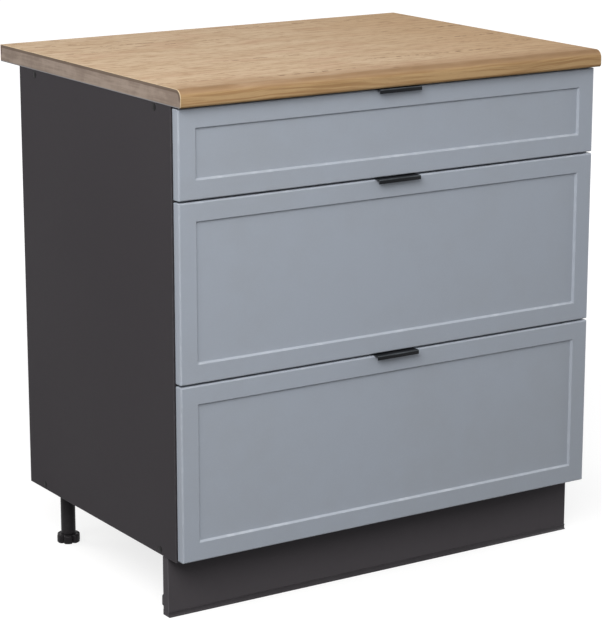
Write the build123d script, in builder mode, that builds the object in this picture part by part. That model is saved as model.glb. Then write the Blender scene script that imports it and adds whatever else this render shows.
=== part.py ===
from build123d import *
import os
from math import cos, radians, sin

os.makedirs("parts", exist_ok=True)

# A base cabinet with three drawers, a worktop, a plinth and four levelling legs.
# X runs to the right along the drawer fronts, Y from the fronts towards the wall, Z up from the floor.
# The origin is on the floor under the middle of the worktop. All sizes are in millimetres.

# Carcass of faced chipboard
cabinet_width = 800.0       # over both side panels
cabinet_height = 720.0      # side panels, lower edge to upper edge
cabinet_depth = 500.0       # side panels, front edge to rear edge
board = 16.0                # thickness of the carcass boards
rail_width = 100.0          # the two flat rails that carry the worktop
back_board = 3.0            # hard fibreboard back panel
rebate_width = 9.0          # step in the side panels' rear edge that takes the back panel
back_setback = 1.0          # back panel's rear face, in from the side panels' rear edges
back_play = 0.5             # air round the edges of the back panel in its rebate

# Worktop
worktop_depth = 600.0
worktop_thickness = 28.0
worktop_nose = 14.0         # worktop's front edge in front of the drawer faces
nose_top_radius = 13.0      # rolled upper front edge
nose_bottom_radius = 5.0    # rolled lower front edge
end_strip = 1.0             # band glued over each cut end of the worktop

# Drawer fronts, each with a sunk panel
front_thickness = 16.0
front_gap = 3.0             # between two fronts, and above and below the stack
front_side_gap = 2.0        # front's end, in from the outside of the side panel
top_front_height = 140.0    # the shallow front, the two deep ones share what is left
front_edge_radius = 2.5
border_width = 30.0         # flat border round the sunk panel
bevel_width = 2.6           # sloping step from the border down to the sunk panel
recess_depth = 3.8

# Handle, a bent strip that sits on the front's top edge
handle_length = 80.0
handle_metal = 1.5
handle_reach = 11.5         # lip's outer face in front of the drawer face
handle_lip = 7.0            # height of the turned-down lip
handle_tail = 14.0          # height of the flange down the back of the front
handle_bend = 1.2           # outer radius of its bends
handle_clearance = 0.5      # between the flange and the carcass behind it
handle_screw_inset = 16.0   # from the handle's end

# Drawer boxes
box_board = 16.0
box_base = 3.0              # fibreboard bottom of the drawer box
groove_depth = 8.0
groove_play = 0.2           # groove's height over the bottom board's thickness
base_rise = 12.0            # groove's lower face above the lower edge of the box
corner_screw_margin = 20.0  # corner screws from the box's upper and lower edges
base_inset = 0.5            # base board's edge short of the bottom of its groove
box_rise = 27.0             # lower edge of the box above the lower edge of its front
shallow_headroom = 23.0     # front's top edge above the top of the shallow box
deep_headroom = 57.0        # the same on the deep drawers
front_screw_inset = 60.0    # from the box's inner side walls
front_screw_margin = 28.0   # from the box's upper and lower edges

# Ball-bearing runners, three nested channels
runner_length = 450.0
runner_thickness = 12.7
runner_height = 45.0
runner_steel = 1.2
runner_setback = 2.0        # runner's front end behind the carcass's front edge
runner_rise = 45.0          # runner's middle above the lower edge of the drawer box
ball_gap = 4.0              # height between two nested channels
ball_play = 0.05            # between a ball and its track
web_gap = 1.4               # cabinet channel's web to the middle channel's web
flange_gap = 1.2            # middle channel's web to the drawer channel's flanges
cabinet_flange = 9.5        # flanges of the cabinet channel, from the carcass side
middle_flange = 10.6        # flanges of the middle channel, from the carcass side
cage_length = 120.0
cage_width = 3.6
cage_strip = 1.2
cage_inset = 4.0            # from the end of the middle channel
ball_count = 8
runner_screw_inset = 37.0   # first and last screw, from the runner's ends

# Plinth
plinth_thickness = 16.0
plinth_setback = 29.0       # plinth's face behind the carcass's front edge
plinth_end_gap = 1.5
plinth_top_gap = 2.0        # air under the carcass
seal_wall = 0.8
seal_height = 9.0
seal_floor_gap = 0.3        # sealing lip just clear of the floor

# Legs
leg_height = 100.0          # floor to the underside of the carcass
leg_side_inset = 40.0       # leg's axis from the side panel's outer face
socket_plinth_gap = 2.0     # front sockets behind the plinth's rear face
leg_rear_setback = 58.0     # leg's axis in front of the carcass's rear edge
tube_radius = 12.5
stem_radius = 8.0           # adjuster's stem inside the tube
stem_play = 0.05
stem_length = 55.0
foot_radius = 20.0
foot_height = 15.0
foot_gap = 0.3              # tube's end above the foot, screwed right in
foot_shoulder = 3.5         # slope round the top of its lobes
foot_sole_edge = 2.0        # slope round the bottom
lobe_count = 6
lobe_turn = 30.0            # first notch, in degrees from the cabinet's long axis
lobe_notch_radius = 3.0
lobe_notch_place = 20.0     # notch centre from the leg's axis
socket_radius = 31.0
socket_plate = 5.0
collar_radius = 17.0
collar_height = 12.0
socket_screw_radius = 23.0  # screws from the leg's axis

# Clips that hold the plinth to the front legs
clip_plate = 2.5
clip_plate_width = 34.0
clip_plate_height = 44.0
clip_ring_wall = 2.2
clip_ring_height = 12.0
clip_neck_width = 10.0
clip_mouth = 100.0          # degrees left open at the back of the ring
clip_screw_spacing = 28.0

# Screws and nails
fit = 0.05                  # a screw or stud in its hole, on the radius
confirmat_length = 50.0
confirmat_head = 4.75       # radii of the head, the plain neck and the thread
confirmat_neck = 3.5
confirmat_thread = 2.5
neck_clearance = 2.0        # neck's end short of the joint
socket_key = 2.0            # hexagon socket, centre to corner
socket_key_depth = 3.0
small_shank = 1.75
small_head = 3.0
small_length = 14.0
long_shank = 2.0
long_head = 4.0
worktop_screw_length = 30.0
front_screw_bite = 8.5      # how deep the front screws go into the drawer front
cross_width = 0.9           # cross recess in the countersunk heads
cross_depth = 1.0
nail_shank = 0.8
nail_head = 2.0
nail_head_height = 0.6
nail_length = 16.0
cap_radius = 6.0            # cover caps over the carcass screws, let in flush with the side panels
cap_height = 1.0
cap_edge = 0.3
cap_play = 0.1              # round the cap, and cap's face below the panel's
side_nails = 6
edge_nails = 5
nail_margin = 60.0          # first and last nail from the carcass's corners

# Places worked out from the sizes above
half_width = cabinet_width / 2
inner_half = half_width - board
floor_z = 0.0
base_z = leg_height
base_top_z = base_z + board
top_z = base_z + cabinet_height
rail_z = top_z - board
worktop_top_z = top_z + worktop_thickness
front_standoff = handle_metal + handle_clearance
nose_y = -worktop_depth / 2
face_y = nose_y + worktop_nose
front_back_y = face_y + front_thickness
carcass_front_y = front_back_y + front_standoff
carcass_rear_y = carcass_front_y + cabinet_depth
back_rear_y = carcass_rear_y - back_setback
back_front_y = back_rear_y - back_board
front_joint_y = carcass_front_y + rail_width / 2
rear_joint_y = back_front_y - rail_width / 2
deep_front_height = (cabinet_height - top_front_height - 4 * front_gap) / 2
front_half = half_width - front_side_gap
box_half = inner_half - runner_thickness
box_inner_half = box_half - box_board
runner_front_y = carcass_front_y + runner_setback
runner_rear_y = runner_front_y + runner_length
box_rear_y = runner_rear_y
cabinet_half_height = runner_height / 2
middle_half_height = cabinet_half_height - runner_steel - ball_gap
drawer_half_height = middle_half_height - runner_steel - ball_gap
middle_web = runner_steel + web_gap
drawer_flange = middle_web + runner_steel + flange_gap
plinth_y = carcass_front_y + plinth_setback
plinth_back_y = plinth_y + plinth_thickness
plinth_half = half_width - plinth_end_gap
plinth_z = floor_z + seal_floor_gap + seal_wall
plinth_top_z = base_z - plinth_top_gap
leg_x = half_width - leg_side_inset
front_leg_y = plinth_back_y + socket_plinth_gap + socket_radius
rear_leg_y = carcass_rear_y - leg_rear_setback
socket_z = base_z - socket_plate
clip_z = (plinth_z + plinth_top_z) / 2

leg_places = {
    "front_left": (-leg_x, front_leg_y),
    "front_right": (leg_x, front_leg_y),
    "rear_left": (-leg_x, rear_leg_y),
    "rear_right": (leg_x, rear_leg_y),
}

# Each drawer: lower edge of its front, the front's height, and its box's headroom
bottom_front_z = base_z + front_gap
middle_front_z = bottom_front_z + deep_front_height + front_gap
top_front_z = middle_front_z + deep_front_height + front_gap
drawers = {
    "top": (top_front_z, top_front_height, shallow_headroom),
    "middle": (middle_front_z, deep_front_height, deep_headroom),
    "bottom": (bottom_front_z, deep_front_height, deep_headroom),
}

to_left = (-1, 0, 0)
to_right = (1, 0, 0)
to_rear = (0, 1, 0)
downwards = (0, 0, -1)
middle_low = (Align.CENTER, Align.CENTER, Align.MIN)
middle_high = (Align.CENTER, Align.CENTER, Align.MAX)


def save(piece, label):
    piece.part.label = label
    export_step(piece.part, f"parts/{label}.step")


def spread(first, last, count):
    # evenly spaced places from first to last
    return [first + (last - first) * i / (count - 1) for i in range(count)]


def slab(x, y, z, mode=Mode.ADD):
    # a board or a cut between low and high limits along each axis
    with Locations(((x[0] + x[1]) / 2, (y[0] + y[1]) / 2, (z[0] + z[1]) / 2)):
        Box(x[1] - x[0], y[1] - y[0], z[1] - z[0], mode=mode)


def seat(x, y, z, outwards):
    # where a screw's head lies flush: its local Z looks outwards and the shank goes the other way
    return Plane(origin=(x, y, z), z_dir=outwards)


def drill(seats, radius, depth):
    with Locations(*seats):
        Hole(radius + fit, depth)


def drill_countersunk(seats, shank, head, depth):
    with Locations(*seats):
        CounterSinkHole(shank + fit, head + fit, depth, 90)


# Screws. Every countersunk head has a right-angled cone, so its height is head radius less shank radius.
def countersunk_screws(seats, shank, head, length):
    with BuildPart() as group:
        with Locations(*seats):
            Cylinder(shank, length, align=middle_high)
            Cone(shank, head, head - shank, align=middle_high)
            Box(cross_width, 2 * shank, cross_depth, align=middle_high, mode=Mode.SUBTRACT)
            Box(2 * shank, cross_width, cross_depth, align=middle_high, mode=Mode.SUBTRACT)
    return group


def confirmat_screws(seats, through):
    # through is the thickness of the board under the head
    neck = through - neck_clearance
    with BuildPart() as group:
        with Locations(*seats):
            Cylinder(confirmat_thread, confirmat_length, align=middle_high)
            Cylinder(confirmat_neck, neck, align=middle_high)
            Cone(confirmat_neck, confirmat_head, confirmat_head - confirmat_neck, align=middle_high)
        for place in seats:
            with BuildSketch(place) as key:
                RegularPolygon(socket_key, 6)
            extrude(key.sketch, amount=-socket_key_depth, mode=Mode.SUBTRACT)
    return group


def carcass_joint_seats(side):
    # one screw into the end of each rail and two into the end of the bottom panel
    outwards = to_left if side < 0 else to_right
    places = []
    for z in (rail_z + board / 2, base_z + board / 2):
        for y in (front_joint_y, rear_joint_y):
            places.append(seat(side * (half_width - cap_height), y, z, outwards))
    return places


def runner_mid_z(drawer):
    front_z, height, headroom = drawers[drawer]
    return front_z + box_rise + runner_rise


def runner_screw_ys():
    return spread(runner_front_y + runner_screw_inset, runner_rear_y - runner_screw_inset, 3)


def cabinet_runner_seats(side):
    # heads flush in the web of the cabinet channel, shanks into the side panel
    outwards = to_right if side < 0 else to_left
    x = side * (inner_half - runner_steel)
    return [seat(x, y, runner_mid_z(d), outwards) for d in drawers for y in runner_screw_ys()]


def drawer_runner_seats(side, drawer):
    # heads flush in the web of the drawer channel, shanks into the side of the box
    outwards = to_left if side < 0 else to_right
    x = side * (box_half + runner_steel)
    return [seat(x, y, runner_mid_z(drawer), outwards) for y in runner_screw_ys()]


def side_nail_seats():
    places = []
    for side in (-1, 1):
        for z in spread(base_z + nail_margin, top_z - nail_margin, side_nails):
            places.append(seat(side * (inner_half + rebate_width / 2), back_rear_y, z, to_rear))
    return places


def edge_nail_seats():
    # into the rear edges of the bottom panel and of the rear rail
    places = []
    for z in (base_z + board / 2, rail_z + board / 2):
        for x in spread(-inner_half + nail_margin, inner_half - nail_margin, edge_nails):
            places.append(seat(x, back_rear_y, z, to_rear))
    return places


def worktop_screw_seats():
    x = inner_half - rail_width
    return [seat(s * x, y, rail_z, downwards) for s in (-1, 1) for y in (front_joint_y, rear_joint_y)]


def socket_screw_seats():
    reach = socket_screw_radius * sin(radians(45))
    places = []
    for x, y in leg_places.values():
        for dx in (-reach, reach):
            for dy in (-reach, reach):
                places.append(seat(x + dx, y + dy, socket_z, downwards))
    return places


def clip_screw_seats():
    places = []
    for side in (-1, 1):
        for dz in (-clip_screw_spacing / 2, clip_screw_spacing / 2):
            places.append(seat(side * leg_x, plinth_back_y + clip_plate, clip_z + dz, to_rear))
    return places


# Carcass
def side_panel(side):
    with BuildPart() as panel:
        limits = sorted((side * inner_half, side * half_width))
        slab(limits, (carcass_front_y, carcass_rear_y), (base_z, top_z))
        rebate = sorted((side * inner_half, side * (inner_half + rebate_width)))
        slab(rebate, (back_front_y, carcass_rear_y), (base_z, top_z), Mode.SUBTRACT)
        with Locations(*carcass_joint_seats(side)):
            Cylinder(cap_radius + cap_play, cap_height, align=middle_low, mode=Mode.SUBTRACT)
        drill_countersunk(carcass_joint_seats(side), confirmat_neck, confirmat_head, board)
        drill(cabinet_runner_seats(side), small_shank, small_length)
        drill([s for s in side_nail_seats() if s.origin.X * side > 0], nail_shank, nail_length)
    return panel


def bottom_panel():
    with BuildPart() as panel:
        slab((-inner_half, inner_half), (carcass_front_y, back_front_y), (base_z, base_top_z))
        for side in (-1, 1):
            drill(carcass_joint_seats(side)[2:], confirmat_thread, confirmat_length)
        drill(socket_screw_seats(), small_shank, small_length)
        drill(edge_nail_seats()[:edge_nails], nail_shank, nail_length)
    return panel


def top_rail(at_front):
    if at_front:
        limits = (carcass_front_y, carcass_front_y + rail_width)
    else:
        limits = (back_front_y - rail_width, back_front_y)
    joint = 0 if at_front else 1
    with BuildPart() as rail:
        slab((-inner_half, inner_half), limits, (rail_z, top_z))
        for side in (-1, 1):
            drill([carcass_joint_seats(side)[joint]], confirmat_thread, confirmat_length)
        drill_countersunk(worktop_screw_seats()[joint::2], long_shank, long_head, board)
        if not at_front:
            drill(edge_nail_seats()[edge_nails:], nail_shank, nail_length)
    return rail


def back_panel():
    half = inner_half + rebate_width - back_play
    with BuildPart() as panel:
        slab((-half, half), (back_front_y, back_rear_y), (base_z, top_z - back_play))
        drill(side_nail_seats() + edge_nail_seats(), nail_shank, nail_length)
    return panel


def back_nails():
    with BuildPart() as nails:
        with Locations(*side_nail_seats(), *edge_nail_seats()):
            Cylinder(nail_shank, nail_length, align=middle_high)
            Cylinder(nail_head, nail_head_height, align=middle_low)
    return nails


def screw_caps():
    with BuildPart() as caps:
        with Locations(*carcass_joint_seats(-1), *carcass_joint_seats(1)):
            Cylinder(cap_radius, cap_height - cap_play, align=middle_low)
        rims = caps.edges().filter_by(GeomType.CIRCLE)
        chamfer(rims.filter_by(lambda rim: abs(rim.center().X) > half_width - cap_height / 2), cap_edge)
    return caps


# Worktop
def worktop():
    with BuildPart() as top:
        slab((-half_width, half_width), (nose_y, nose_y + worktop_depth), (top_z, worktop_top_z))
        roll_front_edges(top)
        drill(worktop_screw_seats(), long_shank, worktop_screw_length)
    return top


def worktop_end_strips():
    with BuildPart() as strips:
        for side in (-1, 1):
            x = sorted((side * half_width, side * (half_width + end_strip)))
            slab(x, (nose_y, nose_y + worktop_depth), (top_z, worktop_top_z))
        roll_front_edges(strips)
    return strips


def roll_front_edges(piece):
    # the long front edges, rounded more above than below
    for height, radius in ((worktop_top_z, nose_top_radius), (top_z, nose_bottom_radius)):
        long_edges = piece.edges().filter_by(Axis.X)
        front_edges = long_edges.filter_by_position(Axis.Y, nose_y - fit, nose_y + fit)
        fillet(front_edges.filter_by_position(Axis.Z, height - fit, height + fit), radius)


# Plinth
def plinth_board():
    with BuildPart() as plinth:
        slab((-plinth_half, plinth_half), (plinth_y, plinth_back_y), (plinth_z, plinth_top_z))
        drill(clip_screw_seats(), small_shank, small_length)
    return plinth


def plinth_seal():
    outer_y = (plinth_y - seal_wall, plinth_back_y + seal_wall)
    low = floor_z + seal_floor_gap
    with BuildPart() as seal:
        slab((-plinth_half, plinth_half), outer_y, (low, low + seal_height))
        slot_z = (plinth_z, low + seal_height)
        slab((-plinth_half, plinth_half), (plinth_y, plinth_back_y), slot_z, Mode.SUBTRACT)
        fillet(seal.edges().filter_by(Axis.X).group_by(Axis.Z)[-1], seal_wall / 3)
    return seal


def plinth_clips():
    ring_inner = tube_radius + stem_play
    ring_outer = ring_inner + clip_ring_wall
    ring_z = clip_z - clip_ring_height / 2
    with BuildPart() as clips:
        for side in (-1, 1):
            x = side * leg_x
            plate_x = (x - clip_plate_width / 2, x + clip_plate_width / 2)
            plate_z = (clip_z - clip_plate_height / 2, clip_z + clip_plate_height / 2)
            slab(plate_x, (plinth_back_y, plinth_back_y + clip_plate), plate_z)
            neck_x = (x - clip_neck_width / 2, x + clip_neck_width / 2)
            slab(neck_x, (plinth_back_y, front_leg_y), (ring_z, ring_z + clip_ring_height))
            with Locations((x, front_leg_y, ring_z)):
                Cylinder(ring_outer, clip_ring_height, align=middle_low)
                Cylinder(ring_inner, clip_ring_height, align=middle_low, mode=Mode.SUBTRACT)
            with BuildSketch(Plane.XY.offset(ring_z)) as mouth:
                with Locations((x, front_leg_y)):
                    half_mouth = clip_mouth / 2
                    reach = 2 * ring_outer
                    with BuildLine():
                        Polyline(
                            (0, 0),
                            (reach * sin(radians(half_mouth)), reach * cos(radians(half_mouth))),
                            (-reach * sin(radians(half_mouth)), reach * cos(radians(half_mouth))),
                            close=True,
                        )
                    make_face()
            extrude(mouth.sketch, amount=clip_ring_height, mode=Mode.SUBTRACT)
        drill_countersunk(clip_screw_seats(), small_shank, small_head, clip_plate)
    return clips


# Legs
def leg_sockets():
    with BuildPart() as sockets:
        with Locations(*[(x, y, base_z) for x, y in leg_places.values()]):
            Cylinder(socket_radius, socket_plate, align=middle_high)
        with Locations(*[(x, y, socket_z) for x, y in leg_places.values()]):
            Cylinder(collar_radius, collar_height, align=middle_high)
            Cylinder(tube_radius + fit, collar_height, align=middle_high, mode=Mode.SUBTRACT)
        drill_countersunk(socket_screw_seats(), small_shank, small_head, socket_plate)
    return sockets


def leg_tubes():
    tube_z = floor_z + foot_height + foot_gap
    with BuildPart() as tubes:
        with Locations(*[(x, y, tube_z) for x, y in leg_places.values()]):
            Cylinder(tube_radius, socket_z - tube_z, align=middle_low)
            Cylinder(stem_radius, socket_z - tube_z, align=middle_low, mode=Mode.SUBTRACT)
    return tubes


def adjuster_foot(x, y):
    # a scalloped disc turned by hand, with a stem that screws into the tube
    axis = Axis((x, y, floor_z), (0, 0, 1))
    with BuildPart() as foot:
        with BuildSketch(Plane(origin=axis.position, x_dir=(1, 0, 0), z_dir=(0, -1, 0))) as half_section:
            with BuildLine():
                Polyline(
                    (0, 0),
                    (foot_radius - foot_sole_edge, 0),
                    (foot_radius, foot_sole_edge),
                    (foot_radius, foot_height - foot_shoulder),
                    (foot_radius - foot_shoulder, foot_height),
                    (0, foot_height),
                    close=True,
                )
            make_face()
        revolve(half_section.sketch, axis=axis)
        with Locations(axis.position):
            with PolarLocations(lobe_notch_place, lobe_count, start_angle=lobe_turn):
                Cylinder(lobe_notch_radius, foot_height, align=middle_low, mode=Mode.SUBTRACT)
        with Locations((x, y, floor_z + foot_height)):
            Cylinder(stem_radius - stem_play, stem_length, align=middle_low)
    return foot


# Drawer fronts and handles
def drawer_front(drawer):
    front_z, height, headroom = drawers[drawer]
    with BuildPart() as front:
        slab((-front_half, front_half), (face_y, front_back_y), (front_z, front_z + height))
        fillet(front.faces().sort_by(Axis.Y)[0].edges(), front_edge_radius)
        opening_width = 2 * (front_half - border_width)
        opening_height = height - 2 * border_width
        mid = (0, front_z + height / 2)
        with BuildSketch(Plane.XZ.offset(-face_y)) as opening:
            with Locations(mid):
                Rectangle(opening_width, opening_height)
        with BuildSketch(Plane.XZ.offset(-face_y - recess_depth)) as panel:
            with Locations(mid):
                Rectangle(opening_width - 2 * bevel_width, opening_height - 2 * bevel_width)
        loft([opening.sketch.face(), panel.sketch.face()], mode=Mode.SUBTRACT)
        drill(front_screw_seats(drawer), long_shank, box_board + front_screw_bite)
        drill(handle_screw_seats(drawer), small_shank, small_length)
    return front


def handle(drawer):
    # lip in front, plate over the front's top edge, flange down its back
    front_z, height, headroom = drawers[drawer]
    edge_z = front_z + height
    plate_z = edge_z + handle_metal
    lip_y = face_y - handle_reach
    tail_y = front_back_y + handle_metal
    with BuildPart() as pull:
        with BuildSketch(Plane.YZ.offset(-handle_length / 2)) as section:
            with BuildLine():
                Polyline(
                    (lip_y, plate_z - handle_lip),
                    (lip_y, plate_z),
                    (tail_y, plate_z),
                    (tail_y, edge_z - handle_tail),
                    (front_back_y, edge_z - handle_tail),
                    (front_back_y, edge_z),
                    (lip_y + handle_metal, edge_z),
                    (lip_y + handle_metal, plate_z - handle_lip),
                    close=True,
                )
            make_face()
            fillet(section.vertices().group_by(Axis.Y)[0].sort_by(Axis.Z)[-1], handle_bend)
            fillet(section.vertices().group_by(Axis.Y)[-1].sort_by(Axis.Z)[-1], handle_bend)
        extrude(section.sketch, amount=handle_length)
        drill_countersunk(handle_screw_seats(drawer), small_shank, small_head, handle_metal)
    return pull


def handle_screw_seats(drawer):
    front_z, height, headroom = drawers[drawer]
    x = handle_length / 2 - handle_screw_inset
    z = front_z + height - handle_tail / 2
    return [seat(s * x, front_back_y + handle_metal, z, to_rear) for s in (-1, 1)]


# Drawer boxes
def box_limits(drawer):
    # lower and upper edge of the box
    front_z, height, headroom = drawers[drawer]
    return front_z + box_rise, front_z + height - headroom


def front_screw_seats(drawer):
    low, high = box_limits(drawer)
    x = box_inner_half - front_screw_inset
    levels = (low + front_screw_margin, high - front_screw_margin)
    return [seat(s * x, front_back_y + box_board, z, to_rear) for s in (-1, 1) for z in levels]


def corner_screw_seats(side, drawer):
    # through the side of the box into the ends of its front and back
    low, high = box_limits(drawer)
    outwards = to_left if side < 0 else to_right
    count = 2 if high - low < deep_front_height / 2 else 3
    levels = spread(low + corner_screw_margin, high - corner_screw_margin, count)
    ys = (front_back_y + box_board / 2, box_rear_y - box_board / 2)
    return [seat(side * box_half, y, z, outwards) for y in ys for z in levels]


def base_limits(drawer):
    low, high = box_limits(drawer)
    return low + base_rise, low + base_rise + box_base


def base_groove(drawer, x, y):
    low, high = base_limits(drawer)
    slab(x, y, (low, high + groove_play), Mode.SUBTRACT)


def box_side(side, drawer):
    x = sorted((side * box_half, side * box_inner_half))
    groove_x = sorted((side * box_inner_half, side * (box_inner_half + groove_depth)))
    with BuildPart() as wall:
        slab(x, (front_back_y, box_rear_y), box_limits(drawer))
        base_groove(drawer, groove_x, (front_back_y, box_rear_y))
        drill_countersunk(corner_screw_seats(side, drawer), confirmat_neck, confirmat_head, box_board)
        drill(drawer_runner_seats(side, drawer), small_shank, small_length)
    return wall


def box_front(drawer):
    inner_y = front_back_y + box_board
    with BuildPart() as wall:
        slab((-box_inner_half, box_inner_half), (front_back_y, inner_y), box_limits(drawer))
        base_groove(drawer, (-box_inner_half, box_inner_half), (inner_y - groove_depth, inner_y))
        drill_countersunk(front_screw_seats(drawer), long_shank, long_head, box_board)
        drill_corner_ends(drawer, 0)
    return wall


def box_back(drawer):
    # stands on the base board
    low, high = box_limits(drawer)
    with BuildPart() as wall:
        y = (box_rear_y - box_board, box_rear_y)
        slab((-box_inner_half, box_inner_half), y, (base_limits(drawer)[1], high))
        drill_corner_ends(drawer, 1)
    return wall


def drill_corner_ends(drawer, row):
    for side in (-1, 1):
        seats = corner_screw_seats(side, drawer)
        half = len(seats) // 2
        drill(seats[row * half:(row + 1) * half], confirmat_thread, confirmat_length)


def box_bottom(drawer):
    half = box_inner_half + groove_depth - base_inset
    with BuildPart() as base:
        y = (front_back_y + box_board - groove_depth + base_inset, box_rear_y)
        slab((-half, half), y, base_limits(drawer))
    return base


# Runners. u runs from the carcass side towards the drawer, v is the height from the runner's middle.
def channel(side, drawer, u, half_height, opens_to_drawer):
    # a flat web with two flanges between the u limits, the open side towards the drawer or the carcass
    x = sorted(side * (inner_half - limit) for limit in u)
    mid_z = runner_mid_z(drawer)
    y = (runner_front_y, runner_rear_y)
    slab(x, y, (mid_z - half_height, mid_z + half_height))
    if opens_to_drawer:
        hollow_u = (u[0] + runner_steel, u[1])
    else:
        hollow_u = (u[0], u[1] - runner_steel)
    hollow = half_height - runner_steel
    hollow_x = sorted(side * (inner_half - limit) for limit in hollow_u)
    slab(hollow_x, y, (mid_z - hollow, mid_z + hollow), Mode.SUBTRACT)


def cabinet_channels():
    with BuildPart() as channels:
        for drawer in drawers:
            for side in (-1, 1):
                channel(side, drawer, (0, cabinet_flange), cabinet_half_height, True)
        for side in (-1, 1):
            drill_countersunk(cabinet_runner_seats(side), small_shank, small_head, runner_steel)
    return channels


def drawer_channels(drawer):
    with BuildPart() as channels:
        for side in (-1, 1):
            channel(side, drawer, (drawer_flange, runner_thickness), drawer_half_height, False)
            drill_countersunk(drawer_runner_seats(side, drawer), small_shank, small_head, runner_steel)
    return channels


def middle_channels(drawer):
    # with the strips of balls that it runs on: the outer ones at its rear end, the inner ones in front
    with BuildPart() as channels:
        for side in (-1, 1):
            channel(side, drawer, (middle_web, middle_flange), middle_half_height, True)
        for side in (-1, 1):
            outer_u = (middle_web + cabinet_flange) / 2
            inner_u = (drawer_flange + middle_flange) / 2
            rear = runner_rear_y - cage_inset - cage_length
            front = runner_front_y + cage_inset
            for v in (-1, 1):
                ball_cage(side, drawer, outer_u, v * (middle_half_height + ball_gap / 2), rear)
                ball_cage(side, drawer, inner_u, v * (drawer_half_height + ball_gap / 2), front)
    return channels


def ball_cage(side, drawer, u, v, y):
    x = side * (inner_half - u)
    z = runner_mid_z(drawer) + v
    strip_z = (z - cage_strip / 2, z + cage_strip / 2)
    slab((x - cage_width / 2, x + cage_width / 2), (y, y + cage_length), strip_z)
    ball = ball_gap / 2 - ball_play
    pitch = cage_length / ball_count
    with Locations(*[(x, y + pitch * (i + 0.5), z) for i in range(ball_count)]):
        Sphere(ball)


# Everything that stands still
save(side_panel(-1), "side_panel_left")
save(side_panel(1), "side_panel_right")
save(bottom_panel(), "bottom_panel")
save(top_rail(True), "front_rail")
save(top_rail(False), "rear_rail")
save(back_panel(), "back_panel")
save(back_nails(), "back_panel_nails")
save(confirmat_screws(carcass_joint_seats(-1) + carcass_joint_seats(1), board - cap_height), "carcass_screws")
save(screw_caps(), "screw_caps")
save(worktop(), "worktop")
save(worktop_end_strips(), "worktop_end_strips")
save(countersunk_screws(worktop_screw_seats(), long_shank, long_head, worktop_screw_length), "worktop_screws")
save(plinth_board(), "plinth_board")
save(plinth_seal(), "plinth_seal")
save(plinth_clips(), "plinth_clips")
save(leg_sockets(), "leg_sockets")
save(leg_tubes(), "leg_tubes")
save(cabinet_channels(), "runner_cabinet_channels")
fixing_seats = socket_screw_seats() + clip_screw_seats() + cabinet_runner_seats(-1) + cabinet_runner_seats(1)
save(countersunk_screws(fixing_seats, small_shank, small_head, small_length), "carcass_fixing_screws")

# The feet that screw in and out
for place, (x, y) in leg_places.items():
    save(adjuster_foot(x, y), f"foot_{place}")

# The drawers, with their channels, and the middle channels that follow them halfway
for drawer in drawers:
    save(drawer_front(drawer), f"front_{drawer}")
    save(handle(drawer), f"handle_{drawer}")
    save(box_side(-1, drawer), f"box_side_left_{drawer}")
    save(box_side(1, drawer), f"box_side_right_{drawer}")
    save(box_front(drawer), f"box_front_{drawer}")
    save(box_back(drawer), f"box_back_{drawer}")
    save(box_bottom(drawer), f"box_bottom_{drawer}")
    corner_seats = corner_screw_seats(-1, drawer) + corner_screw_seats(1, drawer)
    save(confirmat_screws(corner_seats, box_board), f"corner_screws_{drawer}")
    front_length = box_board + front_screw_bite
    save(
        countersunk_screws(front_screw_seats(drawer), long_shank, long_head, front_length),
        f"front_screws_{drawer}",
    )
    save(drawer_channels(drawer), f"runner_drawer_channels_{drawer}")
    save(middle_channels(drawer), f"runner_middle_channels_{drawer}")
    small_seats = drawer_runner_seats(-1, drawer) + drawer_runner_seats(1, drawer)
    small_seats += handle_screw_seats(drawer)
    save(countersunk_screws(small_seats, small_shank, small_head, small_length), f"small_screws_{drawer}")
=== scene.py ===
import math

import bpy
import numpy as np
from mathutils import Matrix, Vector


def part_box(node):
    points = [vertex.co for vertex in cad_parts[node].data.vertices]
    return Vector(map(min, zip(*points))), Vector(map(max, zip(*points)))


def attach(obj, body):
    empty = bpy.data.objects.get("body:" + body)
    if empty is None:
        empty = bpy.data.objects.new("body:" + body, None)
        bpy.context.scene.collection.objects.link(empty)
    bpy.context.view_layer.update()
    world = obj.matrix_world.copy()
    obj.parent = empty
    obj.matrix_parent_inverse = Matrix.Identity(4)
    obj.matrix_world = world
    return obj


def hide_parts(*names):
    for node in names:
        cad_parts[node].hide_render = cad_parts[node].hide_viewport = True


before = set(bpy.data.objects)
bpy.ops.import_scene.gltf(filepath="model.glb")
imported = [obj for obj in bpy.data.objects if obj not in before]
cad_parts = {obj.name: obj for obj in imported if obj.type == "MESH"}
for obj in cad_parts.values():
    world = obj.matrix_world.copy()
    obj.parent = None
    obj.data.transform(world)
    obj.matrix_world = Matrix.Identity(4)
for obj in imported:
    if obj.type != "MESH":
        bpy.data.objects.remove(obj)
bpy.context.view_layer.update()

# The looks of a base cabinet with three drawers. Lengths are in metres, X to the right along the fronts,
# Y from the fronts to the wall, Z up from the floor.
mm = 0.001


# Shapes, made of rings of points
def unit(vectors):
    return vectors / np.linalg.norm(vectors, axis=-1, keepdims=True)


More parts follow.
